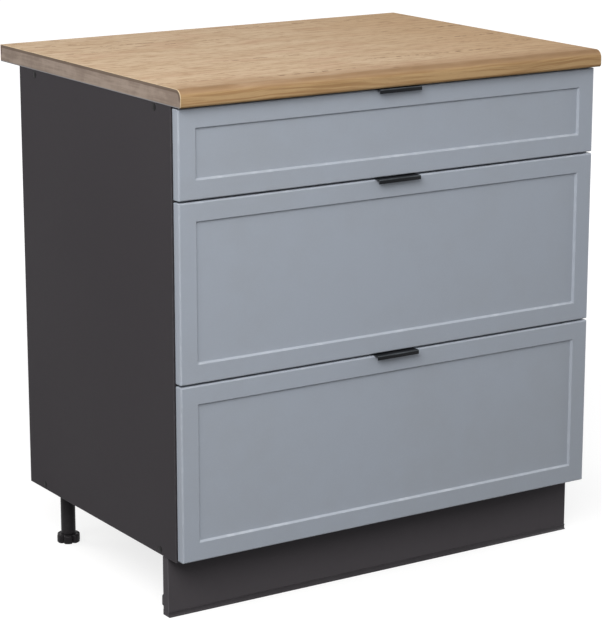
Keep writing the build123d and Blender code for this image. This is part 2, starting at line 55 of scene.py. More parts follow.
def roundedOutline(corners, radii, steps=6, support=0.3 * mm, closed=True):
    # Each corner becomes an arc about a centre on its bisector, at radius over the sine of half the corner's
    # angle. The arc is the two end spokes mixed by sines, and a support point past each end keeps sides flat.
    corners = np.array(corners, float)
    radii = np.array(radii, float)
    inner = slice(None) if closed else slice(1, -1)
    toLast = unit(np.roll(corners, 1, axis=0) - corners)[inner]
    toNext = unit(np.roll(corners, -1, axis=0) - corners)[inner]
    middle = corners[inner]
    radius = radii[inner][:, None] if closed else radii[:, None]
    angle = np.arccos(np.clip((toLast * toNext).sum(-1, keepdims=True), -1, 1))
    reach = radius / np.tan(angle / 2)
    centre = middle + unit(toLast + toNext) * radius / np.sin(angle / 2)
    first = middle + toLast * reach - centre
    last = middle + toNext * reach - centre
    turn = (math.pi - angle)[:, None, :]
    share = np.linspace(0, 1, steps + 1)[None, :, None]
    spokes = np.sin((1 - share) * turn) * first[:, None] + np.sin(share * turn) * last[:, None]
    arcs = centre[:, None] + spokes / np.sin(turn)
    before = (middle + toLast * (reach + support))[:, None]
    after = (middle + toNext * (reach + support))[:, None]
    points = np.concatenate([before, arcs, after], axis=1).reshape(-1, 2)
    return points if closed else np.vstack([corners[:1], points, corners[-1:]])


def insetOutline(outline, amount):
    # every point moves inwards at right angles to the line through its two neighbours
    along = unit(np.roll(outline, -1, axis=0) - np.roll(outline, 1, axis=0))
    nextPoint = np.roll(outline, -1, axis=0)
    area = (outline[:, 0] * nextPoint[:, 1] - nextPoint[:, 0] * outline[:, 1]).sum()
    inwards = np.stack([-along[:, 1], along[:, 0]], axis=-1) * np.sign(area)
    return outline + inwards * amount


def carriedRings(outlines, stations):
    # outlines in Y and Z, one set at each station along X
    return np.stack([np.column_stack([np.full(len(o), x), o]) for x, o in zip(stations, outlines)])


def sweptRings(outline, stations, insets):
    # one outline carried along X, drawn in at each station by its inset
    return carriedRings([insetOutline(outline, inset) if inset else outline for inset in insets], stations)


def rectangleRings(centre, halfWide, halfHigh, radius, depth, steps=5, support=0.5 * mm):
    # One rounded rectangle for each row: a corner's point lies on a circle about the corner's own centre, at
    # half size less radius, and a support point stands before and after each corner. Depth is along Y.
    columns = (np.asarray(v, float)[:, None, None] for v in (halfWide, halfHigh, radius, depth))
    halfWide, halfHigh, radius, depth = columns
    quarter = np.arange(4)[:, None] * math.pi / 2
    angle = quarter + np.linspace(0, math.pi / 2, steps + 1)
    signX = np.array([1, -1, -1, 1])[:, None]
    signZ = np.array([1, 1, -1, -1])[:, None]
    x = signX * (halfWide - radius) + radius * np.cos(angle)
    z = signZ * (halfHigh - radius) + radius * np.sin(angle)
    x = np.concatenate([x[..., :1] + support * np.sin(angle[:, :1]), x,
                        x[..., -1:] - support * np.sin(angle[:, -1:])], axis=-1)
    z = np.concatenate([z[..., :1] - support * np.cos(angle[:, :1]), z,
                        z[..., -1:] + support * np.cos(angle[:, -1:])], axis=-1)
    y = np.broadcast_to(depth, x.shape)
    rings = np.stack([centre[0] + x, centre[1] + y, centre[2] + z], axis=-1)
    return rings.reshape(len(rings), -1, 3)


def turnedRings(centre, profile, axis="Z", sides=48, shape=None):
    # The profile's radius and height, turned round the axis. shape gives a factor on the radius for each
    # row and angle, where the piece isn't round.
    radius, height = np.array(profile, float).T
    angle = np.arange(sides) * 2 * math.pi / sides
    wide = radius[:, None] * (np.ones((len(radius), sides)) if shape is None else shape(angle, height))
    a = wide * np.cos(angle)
    b = wide * np.sin(angle)
    c = np.broadcast_to(height[:, None], a.shape)
    order = {"Z": (a, b, c), "X": (c, a, b)}[axis]
    return np.stack(order, axis=-1) + np.array(centre, float)


def stack(rings, u=None, v=None, wear=None, hollow=False):
    # Rings of points, one row each. A hollow stack closes on its first row, any other gets two flat ends.
    # The wear mask, which on some pieces also carries painted highlight and painted shade, is one value for
    # each row, or one for each point.
    return {"rings": rings, "u": u, "v": v, "wear": wear, "hollow": hollow}


def stackMesh(name, stacks, sharpAngle=38):
    # A face joins each point to the next one round its ring and to the same two in the next ring. The faces
    # are turned over if the volume that they enclose, summed over corner products, comes out negative.
    points, faces, faceUv, wear = [], [], [], []
    start = 0
    for s in stacks:
        rows, cols = s["rings"].shape[:2]
        flat = s["rings"].reshape(-1, 3)
        lastRow = rows if s["hollow"] else rows - 1
        row, col = np.meshgrid(np.arange(lastRow), np.arange(cols), indexing="ij")
        nextRow, nextCol = (row + 1) % rows, (col + 1) % cols
        quads = np.stack([row * cols + col, row * cols + nextCol,
                          nextRow * cols + nextCol, nextRow * cols + col], axis=-1).reshape(-1, 4)
        a, b, c, d = (flat[quads[:, i]] for i in range(4))
        volume = (np.cross(a, b) * c).sum() + (np.cross(a, c) * d).sum()
        ends = [] if s["hollow"] else [list(range(cols))[::-1], list(range((rows - 1) * cols, rows * cols))]
        for end in ends:
            rim = flat[end]
            volume += (np.cross(rim[0], rim[1:-1]) * rim[2:]).sum()
        u = np.arange(rows) if s["u"] is None else s["u"]
        v = np.arange(cols + 1) if s["v"] is None else s["v"]
        around = ((row, col), (row, col + 1), (nextRow, col + 1), (nextRow, col))
        quadUv = np.stack([np.stack([u[i], v[j]], -1) for i, j in around], axis=-2).reshape(-1, 4, 2)
        endUv = [np.column_stack([u[np.array(end) // cols], v[np.array(end) % cols]]) for end in ends]
        if volume < 0:
            quads, quadUv = quads[:, ::-1], quadUv[:, ::-1]
            ends, endUv = [end[::-1] for end in ends], [uv[::-1] for uv in endUv]
        faces += (quads + start).tolist() + [[i + start for i in end] for end in ends]
        faceUv += [quadUv.reshape(-1, 2)] + endUv
        rowWear = np.zeros((rows, 1)) if s["wear"] is None else np.reshape(s["wear"], (rows, -1))
        wear.append(np.broadcast_to(rowWear, (rows, cols)).ravel())
        points.append(flat)
        start += rows * cols
    mesh = bpy.data.meshes.new(name)
    mesh.from_pydata(np.concatenate(points), [], faces)
    mesh.uv_layers.new(name="surface").data.foreach_set("uv", np.concatenate(faceUv).ravel())
    mesh.attributes.new("wear", "FLOAT", "POINT").data.foreach_set("value", np.concatenate(wear))
    mesh.polygons.foreach_set("use_smooth", np.ones(len(faces), bool))
    mesh.set_sharp_from_angle(angle=math.radians(sharpAngle))
    mesh.update()
    return mesh


def addObject(name, data):
    made = bpy.data.objects.new(name, data)
    bpy.context.scene.collection.objects.link(made)
    return made


def addPiece(name, stacks, material, body, slot, *nodes):
    piece = addObject(name, stackMesh(name, stacks))
    piece.data.materials.append(material)
    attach(piece, body)
    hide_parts(*nodes)


# Shader nodes. Every helper takes the tree that it adds to first.
def rgb(red, green, blue):
    # a colour as seen on a screen, 0 to 255, as the linear values that a socket takes
    c = np.array((red, green, blue)) / 255
    linear = np.where(c <= 0.04045, c / 12.92, ((c + 0.055) / 1.055) ** 2.4)
    return (*linear.tolist(), 1.0)


def put(tree, kind, inputs=None, **settings):
    made = tree.nodes.new(kind)
    for key, value in settings.items():
        setattr(made, key, value)
    for key, value in (inputs or {}).items():
        if isinstance(value, bpy.types.NodeSocket):
            tree.links.new(value, made.inputs[key])
        else:
            made.inputs[key].default_value = value
    return made


def calc(tree, operation, *values):
    return put(tree, "ShaderNodeMath", dict(enumerate(values)), operation=operation).outputs[0]


def times(tree, first, second):
    return calc(tree, "MULTIPLY", first, second)


def blended(tree, first, second, share):
    # the first by its share, the second by what is left
    return calc(tree, "ADD", times(tree, first, share), times(tree, second, 1 - share))


def vectorCalc(tree, operation, *values):
    return put(tree, "ShaderNodeVectorMath", dict(enumerate(values)), operation=operation).outputs[0]


def spread(tree, value, low, high, toLow=0.0, toHigh=1.0, smooth=True):
    # value from low to high becomes toLow to toHigh, held at the ends
    kind = "SMOOTHSTEP" if smooth else "LINEAR"
    inputs = {"Value": value, "From Min": low, "From Max": high, "To Min": toLow, "To Max": toHigh}
    return put(tree, "ShaderNodeMapRange", inputs, interpolation_type=kind).outputs[0]


def mixColour(tree, share, first, second, blend="MIX"):
    made = put(tree, "ShaderNodeMix", {0: share, 6: first, 7: second}, data_type="RGBA", blend_type=blend)
    return made.outputs[2]


def noise(tree, vector, scale, detail=2.0, roughness=0.5, distortion=0.0):
    inputs = {"Vector": vector, "Scale": scale, "Detail": detail, "Roughness": roughness,
              "Distortion": distortion}
    return put(tree, "ShaderNodeTexNoise", inputs).outputs["Fac"]


def stretched(tree, vector, scale, move=(0, 0, 0)):
    return put(tree, "ShaderNodeMapping", {"Vector": vector, "Location": move, "Scale": scale}).outputs[0]


def split(tree, vector):
    return put(tree, "ShaderNodeSeparateXYZ", {0: vector}).outputs


def wearAndLightOf(tree):
    # the wear mask: wear, and on the fronts' bevels, the handles' bends and the worktop's end bands also
    # painted highlight and painted shade
    return put(tree, "ShaderNodeAttribute", attribute_name="wear").outputs["Fac"]


def newGroup(name, inputs, outputs):
    tree = bpy.data.node_groups.new(name, "ShaderNodeTree")
    for label, kind, value in inputs:
        socket = tree.interface.new_socket(label, in_out="INPUT", socket_type="NodeSocket" + kind)
        if value is not None:
            socket.default_value = value
    for label, kind in outputs:
        tree.interface.new_socket(label, in_out="OUTPUT", socket_type="NodeSocket" + kind)
    return tree, tree.nodes.new("NodeGroupInput").outputs, tree.nodes.new("NodeGroupOutput").inputs


def useGroup(tree, group, inputs):
    return put(tree, "ShaderNodeGroup", inputs, node_tree=group).outputs


def placeOf(tree, kind="Object"):
    return tree.nodes.new("ShaderNodeTexCoord").outputs[kind]


def newMaterial(name, kind="Object"):
    # a material, its tree and the place on the piece
    material = bpy.data.materials.new(name)
    material.use_nodes = True
    return material, material.node_tree, placeOf(material.node_tree, kind)


def finishLook(tree, look, colour, rough, height):
    # colour, roughness and height go to the Principled shader, with the look's gloss and depth of relief
    shader = tree.nodes["Principled BSDF"]
    bump = put(tree, "ShaderNodeBump", {"Height": height, "Strength": look["strength"],
                                        "Distance": look["depth"]})
    for name, value in (("Base Color", colour), ("Roughness", rough), ("Normal", bump.outputs[0])):
        tree.links.new(value, shader.inputs[name])
    shader.inputs["Specular IOR Level"].default_value = look["specular"]
    return shader


# Effects that the materials share. In every dictionary of looks, a range of four gives where a pattern starts
# and ends and the shares that it has there, and a range of two goes from none to all. A noise has its scale,
# detail, roughness and distortion, as many as it needs.
noiseReach = (0.3, 0.7)
effects = {"patchDetail": 3.0, "patches": (0.35, 0.65, 0.35, 1.0), "wide": (3.0, 0.55), "fine": (2.0, 0.6),
           "wideShare": 0.7, "grainFiner": 1.7}


def makeEdgeWearAndHighlight():
    # The middle one of the distances to the nearest faces along X, Y and Z is the distance to the nearest
    # edge of a board. The mask fades over Width from there and is broken up by noise.
    # the mask gives edge wear and a painted highlight along the edges
    tree, given, result = newGroup("edge_wear_and_highlight", [
        ("Place", "Vector", None), ("Low", "Vector", (0, 0, 0)), ("High", "Vector", (1, 1, 1)),
        ("Width", "Float", 0.001), ("Patches", "Float", 60.0)], [("Mask", "Float")])
    fromLow = vectorCalc(tree, "SUBTRACT", given["Place"], given["Low"])
    fromHigh = vectorCalc(tree, "SUBTRACT", given["High"], given["Place"])
    nearest = split(tree, vectorCalc(tree, "MINIMUM", fromLow, fromHigh))
    lower = calc(tree, "MINIMUM", nearest[0], nearest[1])
    upper = calc(tree, "MAXIMUM", nearest[0], nearest[1])
    edge = calc(tree, "MAXIMUM", lower, calc(tree, "MINIMUM", upper, nearest[2]))
    close = spread(tree, edge, 0.0, given["Width"], 1.0, 0.0)
    cloudy = noise(tree, given["Place"], given["Patches"], effects["patchDetail"])
    patches = spread(tree, cloudy, *effects["patches"])
    tree.links.new(times(tree, close, patches), result["Mask"])
    return tree


def makeHandling():
    # cloudy marks of use: two soft noises of unlike scale, about 0.5
    tree, given, result = newGroup("handling_marks", [
        ("Place", "Vector", None), ("Scale", "Float", 3.0), ("Fine", "Float", 40.0)], [("Value", "Float")])
    wide = noise(tree, given["Place"], given["Scale"], *effects["wide"])
    fine = noise(tree, given["Place"], given["Fine"], *effects["fine"])
    tree.links.new(blended(tree, wide, fine, effects["wideShare"]), result["Value"])
    return tree


def makeFineSkin():
    # the fine skin of lacquer, foil and moulded plastic: a cell pattern softened by noise
    tree, given, result = newGroup("fine_skin", [
        ("Place", "Vector", None), ("Scale", "Float", 900.0), ("Roughen", "Float", 0.5)],
        [("Height", "Float")])
    cells = put(tree, "ShaderNodeTexVoronoi", {"Vector": given["Place"], "Scale": given["Scale"]},
                feature="SMOOTH_F1").outputs["Distance"]
    grain = noise(tree, given["Place"], times(tree, given["Scale"], effects["grainFiner"]))
    soft = put(tree, "ShaderNodeMix", {0: given["Roughen"], 2: cells, 3: grain}, data_type="FLOAT").outputs[0]
    tree.links.new(soft, result["Height"])
    return tree


def makeChips():
    # pressed wood chips as a raw board edge shows them: stretched cells, each with its own tone
    tree, given, result = newGroup("pressed_chips", [
        ("Place", "Vector", None), ("Scale", "Float", 420.0), ("Dark", "Color", (0.2, 0.1, 0.05, 1)),
        ("Light", "Color", (0.5, 0.3, 0.2, 1))], [("Color", "Color"), ("Height", "Float")])
    cells = put(tree, "ShaderNodeTexVoronoi", {"Vector": given["Place"], "Scale": given["Scale"]})
    tone = put(tree, "ShaderNodeSeparateColor", {0: cells.outputs["Color"]}).outputs[0]
    tree.links.new(mixColour(tree, tone, given["Dark"], given["Light"]), result["Color"])
    tree.links.new(cells.outputs["Distance"], result["Height"])
    return tree


edgeWearAndHighlight = makeEdgeWearAndHighlight()
handlingMarks = makeHandling()
fineSkin = makeFineSkin()
pressedChips = makeChips()
print("shared effects made")


def marksOf(tree, place, scale, fine):
    return useGroup(tree, handlingMarks, {"Place": place, "Scale": scale, "Fine": fine})["Value"]


def skinOf(tree, place, scale, roughen):
    return useGroup(tree, fineSkin, {"Place": place, "Scale": scale, "Roughen": roughen})["Height"]


# Boards
graphite = {"colour": rgb(53, 50, 53), "worn": rgb(96, 94, 97), "roughness": 0.62,
            "skinScale": 1500.0, "shade": 0.07, "specular": 0.07, "edge": 1.6 * mm, "depth": 0.05 * mm,
            "strength": 1.0}
# the plinth is the carcass graphite made lighter: painted light against the shade under the drawer fronts
plinthLitGraphite = {**graphite, "colour": rgb(71, 68, 71), "worn": rgb(112, 109, 113)}
white = {"colour": rgb(226, 225, 221), "worn": rgb(190, 182, 168), "roughness": 0.5,
         "skinScale": 1300.0, "shade": 0.04, "specular": 0.3, "edge": 0.8 * mm, "depth": 0.04 * mm,
         "strength": 1.0}
chips = {"dark": rgb(112, 84, 58), "light": rgb(196, 164, 124), "scale": 380.0,
         "stretch": (0.45, 0.45, 1.6), "height": 4.0}
facing = {"marks": (2.2, 55.0), "roughen": 0.6, "specks": (0.35, 0.7, 0.0, 0.1), "wornAndLitShare": 0.6,
          "outwards": 0.9, "smoother": 0.05, "rougher": 0.06}


def facedBoard(name, look, low, high, rawAlong=()):
    # faced chipboard with worn edges, paler also as a painted highlight of light catching them. rawAlong
    # lists outward directions whose cut edges have no band.
    material, tree, place = newMaterial(name)
    marks = marksOf(tree, place, *facing["marks"])
    skin = skinOf(tree, place, look["skinScale"], facing["roughen"])
    shade = spread(tree, marks, *noiseReach, 1 - look["shade"], 1 + look["shade"], smooth=False)
    grey = put(tree, "ShaderNodeCombineColor", {0: shade, 1: shade, 2: shade}).outputs[0]
    colour = mixColour(tree, 1.0, look["colour"], grey, "MULTIPLY")
    colour = mixColour(tree, spread(tree, skin, *facing["specks"]), colour, look["worn"])
    # edges paler in the worn colour: wear and painted highlight
    worn = useGroup(tree, edgeWearAndHighlight, {"Place": place, "Low": low, "High": high, "Width": look["edge"]})["Mask"]
    colour = mixColour(tree, times(tree, worn, facing["wornAndLitShare"]), colour, look["worn"])
    if rawAlong:
        normal = split(tree, placeOf(tree, "Normal"))
        raw = 0.0
        for axis, sign in rawAlong:
            towards = times(tree, normal[axis], sign)
            raw = calc(tree, "MAXIMUM", raw, calc(tree, "GREATER_THAN", towards, facing["outwards"]))
        chip = useGroup(tree, pressedChips, {"Place": stretched(tree, place, chips["stretch"]),
                                             "Scale": chips["scale"], "Dark": chips["dark"],
                                             "Light": chips["light"]})
        colour = mixColour(tree, raw, colour, chip["Color"])
        skin = calc(tree, "ADD", skin, times(tree, raw, times(tree, chip["Height"], chips["height"])))
    rough = spread(tree, marks, *noiseReach, look["roughness"] - facing["smoother"],
                   look["roughness"] + facing["rougher"])
    finishLook(tree, look, colour, rough, skin)
    return material


hardboard = {"rear": rgb(146, 112, 80), "rearDark": rgb(112, 82, 56), "front": rgb(92, 90, 91),
             "stretch": (1.0, 1.0, 0.5), "fibres": (700.0, 6.0, 0.7, 1.5), "clouds": (7.0, 4.0, 0.6),
             "fibreShare": 0.6, "brown": (0.35, 0.65), "frontward": -0.5, "rough": (0.58, 0.75),
             "specular": 0.5, "depth": 0.12 * mm, "strength": 0.6}


def makeHardboard():
    # brown pressed fibres behind, a sprayed grey face in front
    material, tree, place = newMaterial("hard_fibreboard")
    fibres = noise(tree, stretched(tree, place, hardboard["stretch"]), *hardboard["fibres"])
    clouds = noise(tree, place, *hardboard["clouds"])
    tone = blended(tree, fibres, clouds, hardboard["fibreShare"])
    brown = mixColour(tree, spread(tree, tone, *hardboard["brown"]), hardboard["rearDark"], hardboard["rear"])
    facingY = split(tree, placeOf(tree, "Normal"))[1]
    inside = calc(tree, "LESS_THAN", facingY, hardboard["frontward"])
    colour = mixColour(tree, inside, brown, hardboard["front"])
    finishLook(tree, hardboard, colour, spread(tree, fibres, *noiseReach, *hardboard["rough"]), fibres)
    return material


drawerBase = {"colour": rgb(222, 221, 217), "worn": rgb(208, 205, 198), "stretch": (1.0, 0.4, 1.0),
              "fibres": (420.0, 5.0, 0.65, 1.0), "marks": (4.0, 70.0), "wornRange": (0.35, 0.7),
              "rough": (0.42, 0.55), "specular": 0.5, "depth": 0.05 * mm, "strength": 0.5}


def makeDrawerBase():
    # white sprayed fibreboard, with its weave of fibres just showing
    material, tree, place = newMaterial("drawer_base_white")
    fibres = noise(tree, stretched(tree, place, drawerBase["stretch"]), *drawerBase["fibres"])
    marks = marksOf(tree, place, *drawerBase["marks"])
    worn = spread(tree, marks, *drawerBase["wornRange"])
    colour = mixColour(tree, worn, drawerBase["colour"], drawerBase["worn"])
    finishLook(tree, drawerBase, colour, spread(tree, marks, *noiseReach, *drawerBase["rough"]), fibres)
    return material


# Lacquer of the fronts. Wear is 1 on the outer edge and one half on the bevel, which "bevel" picks out; the
# paler colour that the half gives the bevel is painted highlight.
# worn is the colour of peel specks, rubbed edges and the painted highlight on the bevels; dust is the colour
# of dust and painted highlight on the bevels that face up
lacquer = {"colour": rgb(151, 158, 169), "warm": rgb(148, 154, 163), "worn": rgb(178, 184, 192),
           "dust": rgb(206, 210, 216), "marks": (2.6, 26.0),
           "peelScale": 520.0, "roughen": 0.45, "warmRange": (0.35, 0.7), "peelRange": (0.3, 0.8, 0.0, 0.06),
           "patches": (48.0, 4.0), "patchRange": (0.45, 0.75), "rubbedAndHighlight": (0.2, 0.6), "dustAndHighlightRange": (0.15, 0.3),
           "bevel": ((0.3, 0.45), (0.7, 0.55)), "upwards": (0.35, 0.85), "rough": (0.47, 0.37),
           "specular": 0.3, "depth": 0.03 * mm, "strength": 0.7}


def makeLacquer():
    # orange peel, rubbed outer edges, paler bevels as painted highlight, and a little dust on the bevels that
    # face up, which is also painted highlight
    material, tree, place = newMaterial("grey_blue_lacquer")
    marks = marksOf(tree, place, *lacquer["marks"])
    peel = skinOf(tree, place, lacquer["peelScale"], lacquer["roughen"])
    colour = mixColour(tree, spread(tree, marks, *lacquer["warmRange"]), lacquer["colour"], lacquer["warm"])
    colour = mixColour(tree, spread(tree, peel, *lacquer["peelRange"]), colour, lacquer["worn"])
    wear = wearAndLightOf(tree)
    patches = spread(tree, noise(tree, place, *lacquer["patches"]), *lacquer["patchRange"])
    # rubbed: real wear on the outer edge, painted highlight on the bevel
    rubbedAndHighlight = times(tree, wear, spread(tree, patches, 0.0, 1.0, *lacquer["rubbedAndHighlight"]))
    colour = mixColour(tree, rubbedAndHighlight, colour, lacquer["worn"])
    upwards = split(tree, placeOf(tree, "Normal"))[2]
    # lighter dust on the bevels that face up, which is also painted highlight where light from above falls
    overLow, underHigh = (spread(tree, wear, *ends) for ends in lacquer["bevel"])
    dustAndHighlightLedge = times(tree, times(tree, overLow, underHigh), spread(tree, upwards, *lacquer["upwards"]))
    dust = times(tree, dustAndHighlightLedge, spread(tree, patches, 0.0, 1.0, *lacquer["dustAndHighlightRange"]))
    colour = mixColour(tree, dust, colour, lacquer["dust"])
    finishLook(tree, lacquer, colour, spread(tree, marks, *noiseReach, *lacquer["rough"]), peel)
    return material


# Oak laminate. Each pattern of the grain has its waves in a metre along and across the boards, its offset,
# and its detail, roughness and distortion.
grain = {"bend": (2.4, 4.0, 0, 0, 3.0, 0.5, 0.0), "patches": (6.0, 24.0, 3.1, 0.7, 3.0, 0.55, 0.0),
         "rosy": (8.0, 22.0, 9.0, 2.0, 3.0, 0.55, 0.0), "streaks": (10.0, 105.0, 0, 0, 5.0, 0.66, 0.25),
         "flecks": (28.0, 120.0, 2.0, 6.0, 4.0, 0.65, 0.0), "fibres": (60.0, 420.0, 0, 0, 3.0, 0.65, 0.0),
         "lines": (5.0, 210.0, 1.0, 3.0, 4.0, 0.6, 0.0), "dashes": (75.0, 30.0, 0, 5.0, 1.0, 0.5, 0.0),
         "rows": (1.6, 105.0, 4.0, 0, 1.0, 0.5, 0.0)}
oak = {"light": rgb(195, 172, 145), "mid": rgb(185, 160, 132), "rose": rgb(182, 149, 124),
       "dark": rgb(150, 120, 90), "pore": rgb(104, 76, 52), "rightShade": rgb(180, 150, 116),
       "edge": rgb(158, 128, 98), "roll": rgb(132, 104, 76), "nose": rgb(174, 144, 103),
       "noseDark": rgb(148, 115, 76), "backing": rgb(128, 122, 114), "drift": 0.05,
       "midRange": (0.34, 0.66, 0.0, 0.8), "roseRange": (0.48, 0.7, 0.0, 0.45),
       "rightShadeRange": (-0.05, 0.4, 0.0, 0.75),
       "edgeReach": 70 * mm, "edgeShare": 0.7, "edgeUneven": (0.35, 0.65, 0.7, 1.0),
       "rollFrom": -14 * mm, "rollDark": 7 * mm, "rollTo": 17 * mm, "rollUneven": (0.3, 0.6, 0.3, 0.85),
       "noseFade": 2 * mm, "noseShare": 0.85, "noseCalm": 0.7, "lineRange": (0.42, 0.6),
       "streakRange": (0.48, 0.72, 0.0, 0.65), "fleckRange": (0.49, 0.69, 0.0, 0.75),
       "fibreRange": (0.5, 0.78, 0.0, 0.45), "dashRange": (0.48, 0.56), "rowRange": (0.67, 0.73),
       "poreShare": 0.95, "knotSize": (4.4 * mm, 1.9 * mm), "knotFade": (0.6, 2.4, 1.0, 0.0),
       "knotShare": 0.6,
       "knots": [(0.004, -9 * mm), (-0.17, -0.21), (0.23, -0.37), (0.31, -0.12)],
       "rough": (0.68, 0.84), "specular": 0.05, "fibreHeight": 0.5, "poreHeight": -0.8, "depth": 0.06 * mm,
       "strength": 0.6}


def grainNoise(tree, vector, name):
    alongScale, acrossScale, alongMove, acrossMove, detail, roughness, distortion = grain[name]
    place = stretched(tree, vector, (alongScale, acrossScale, 1.0), (alongMove, acrossMove, 0))
    return noise(tree, place, 1.0, detail, roughness, distortion)


def makeOak(noseLength):
    # The map runs along the boards in X and round the section from the top of the nose, which is at 0.
    # A drift bends every line alike. Tone comes from patches, short streaks, fibres, rows of pore dashes and
    # a few small knots, each an ellipse about its own place. It darkens towards the roll, ochre under it.
    material, tree, place = newMaterial("oak_laminate", "UV")
    along, across = split(tree, place)[:2]
    drift = times(tree, calc(tree, "SUBTRACT", grainNoise(tree, place, "bend"), 0.5), oak["drift"])
    moved = calc(tree, "ADD", across, drift)
    bent = put(tree, "ShaderNodeCombineXYZ", {0: along, 1: moved, 2: 0.0}).outputs[0]
    made = {name: grainNoise(tree, bent, name) for name in grain if name != "bend"}
    patches, streaks, fibres = made["patches"], made["streaks"], made["fibres"]
    colour = mixColour(tree, spread(tree, patches, *oak["midRange"]), oak["light"], oak["mid"])
    colour = mixColour(tree, spread(tree, made["rosy"], *oak["roseRange"]), colour, oak["rose"])
    # painted shade: the top turns darker towards +X, where less light falls
    colour = mixColour(tree, spread(tree, along, *oak["rightShadeRange"]), colour, oak["rightShade"])
    near = spread(tree, across, -oak["edgeReach"], 0.0, 0.0, oak["edgeShare"])
    near = times(tree, near, spread(tree, patches, *oak["edgeUneven"]))
    colour = mixColour(tree, near, colour, oak["edge"])
    nose = times(tree, spread(tree, across, oak["rollDark"], oak["rollTo"]),
                 spread(tree, across, noseLength, noseLength - oak["noseFade"]))
    noseTone = mixColour(tree, spread(tree, made["lines"], *oak["lineRange"]), oak["nose"], oak["noseDark"])
    colour = mixColour(tree, times(tree, nose, oak["noseShare"]), colour, noseTone)
    roll = times(tree, spread(tree, across, oak["rollFrom"], oak["rollDark"]),
                 spread(tree, across, oak["rollTo"], oak["rollDark"]))
    roll = times(tree, roll, spread(tree, patches, *oak["rollUneven"]))
    colour = mixColour(tree, roll, colour, oak["roll"])
    flat = calc(tree, "SUBTRACT", 1.0, times(tree, nose, oak["noseCalm"]))
    streaked = times(tree, spread(tree, streaks, *oak["streakRange"]), flat)
    flecked = times(tree, spread(tree, made["flecks"], *oak["fleckRange"]), flat)
    colour = mixColour(tree, calc(tree, "MAXIMUM", streaked, flecked), colour, oak["dark"])
    colour = mixColour(tree, spread(tree, fibres, *oak["fibreRange"]), colour, oak["dark"])
    pores = times(tree, spread(tree, made["dashes"], *oak["dashRange"]),
                  spread(tree, made["rows"], *oak["rowRange"]))
    pores = times(tree, pores, spread(tree, across, 0.0, oak["rollFrom"]))
    colour = mixColour(tree, times(tree, pores, oak["poreShare"]), colour, oak["pore"])
    knots = 0.0
    for knot in oak["knots"]:
        offsets = [calc(tree, "SUBTRACT", *pair) for pair in zip((along, across), knot)]
        shares = [calc(tree, "DIVIDE", *pair) for pair in zip(offsets, oak["knotSize"])]
        squares = [calc(tree, "POWER", share, 2.0) for share in shares]
        span = calc(tree, "SQRT", calc(tree, "ADD", *squares))
        knots = calc(tree, "MAXIMUM", knots, spread(tree, span, *oak["knotFade"]))
    colour = mixColour(tree, times(tree, knots, oak["knotShare"]), colour, oak["pore"])
    under = calc(tree, "GREATER_THAN", across, noseLength)
    colour = mixColour(tree, under, colour, oak["backing"])
    relief = calc(tree, "ADD", times(tree, fibres, oak["fibreHeight"]), times(tree, pores, oak["poreHeight"]))
    finishLook(tree, oak, colour, spread(tree, streaks, *noiseReach, *oak["rough"]), relief)
    return material


band = {"light": rgb(157, 142, 130), "dark": rgb(133, 118, 107), "rim": rgb(206, 184, 150),
        "shadeLine": rgb(86, 70, 58), "sole": rgb(136, 134, 136), "stretch": (1.0, 9.0, 190.0),
        "streaks": (1.0, 4.0, 0.6, 0.4), "clouds": (26.0, 4.0, 0.65), "streakShare": 0.5,
        "toneRange": (0.38, 0.62), "shadeLinePlace": ((0.1, 0.4), (0.9, 0.6)), "shadeLineRise": (6 * mm, 16 * mm),
        "shadeLineShare": 0.65, "rimHighlightRange": (0.6, 0.9, 0.0, 0.85), "soleRise": (2.2 * mm, 1.0 * mm),
        "rough": (0.6, 0.76), "specular": 0.1, "depth": 0.05 * mm, "strength": 0.5}


def makeEndBand(bottom):
    # The dull band over a cut end, streaked along Y. Wear is 1 on its pale rim, a painted highlight of light
    # catching the arris, and falls to 0 on the face, and a dark line of painted shade lies between, over the
    # upper part only. The sole, just over the bottom, is grey.
    material, tree, place = newMaterial("worktop_end_band")
    streaks = noise(tree, stretched(tree, place, band["stretch"]), *band["streaks"])
    clouds = noise(tree, place, *band["clouds"])
    tone = blended(tree, streaks, clouds, band["streakShare"])
    colour = mixColour(tree, spread(tree, tone, *band["toneRange"]), band["dark"], band["light"])
    height = split(tree, place)[2]
    # 1 on the rim, where the painted highlight goes; the painted shade line lies where it is about one half
    rim = wearAndLightOf(tree)
    shadeLineIn, shadeLineOut = (spread(tree, rim, *ends) for ends in band["shadeLinePlace"])
    shadeLineLow, shadeLineHigh = band["shadeLineRise"]
    upper = spread(tree, height, bottom + shadeLineLow, bottom + shadeLineHigh)
    shadeLine = times(tree, times(tree, shadeLineIn, shadeLineOut), upper)
    colour = mixColour(tree, times(tree, shadeLine, band["shadeLineShare"]), colour, band["shadeLine"])
    colour = mixColour(tree, spread(tree, rim, *band["rimHighlightRange"]), colour, band["rim"])
    soleTop, soleFull = band["soleRise"]
    sole = spread(tree, height, bottom + soleTop, bottom + soleFull)
    colour = mixColour(tree, sole, colour, band["sole"])
    finishLook(tree, band, colour, spread(tree, clouds, *noiseReach, *band["rough"]), tone)
    return material


# Metals and plastics
coat = {"colour": rgb(14, 15, 18), "worn": rgb(98, 103, 108), "roughness": 0.5, "specular": 0.1,
        "dust": 0.04, "evenRub": 0.55, "skinScale": 2600.0, "depth": 0.03 * mm, "strength": 0.7}
blackMoulding = {**coat, "colour": rgb(31, 29, 31), "worn": rgb(52, 50, 52), "specular": 0.12, "dust": 0.1,
                 "evenRub": 0.1, "skinScale": 1800.0}
greyMoulding = {**blackMoulding, "colour": rgb(52, 49, 52), "worn": rgb(92, 90, 93), "roughness": 0.55,
                "specular": 0.18}
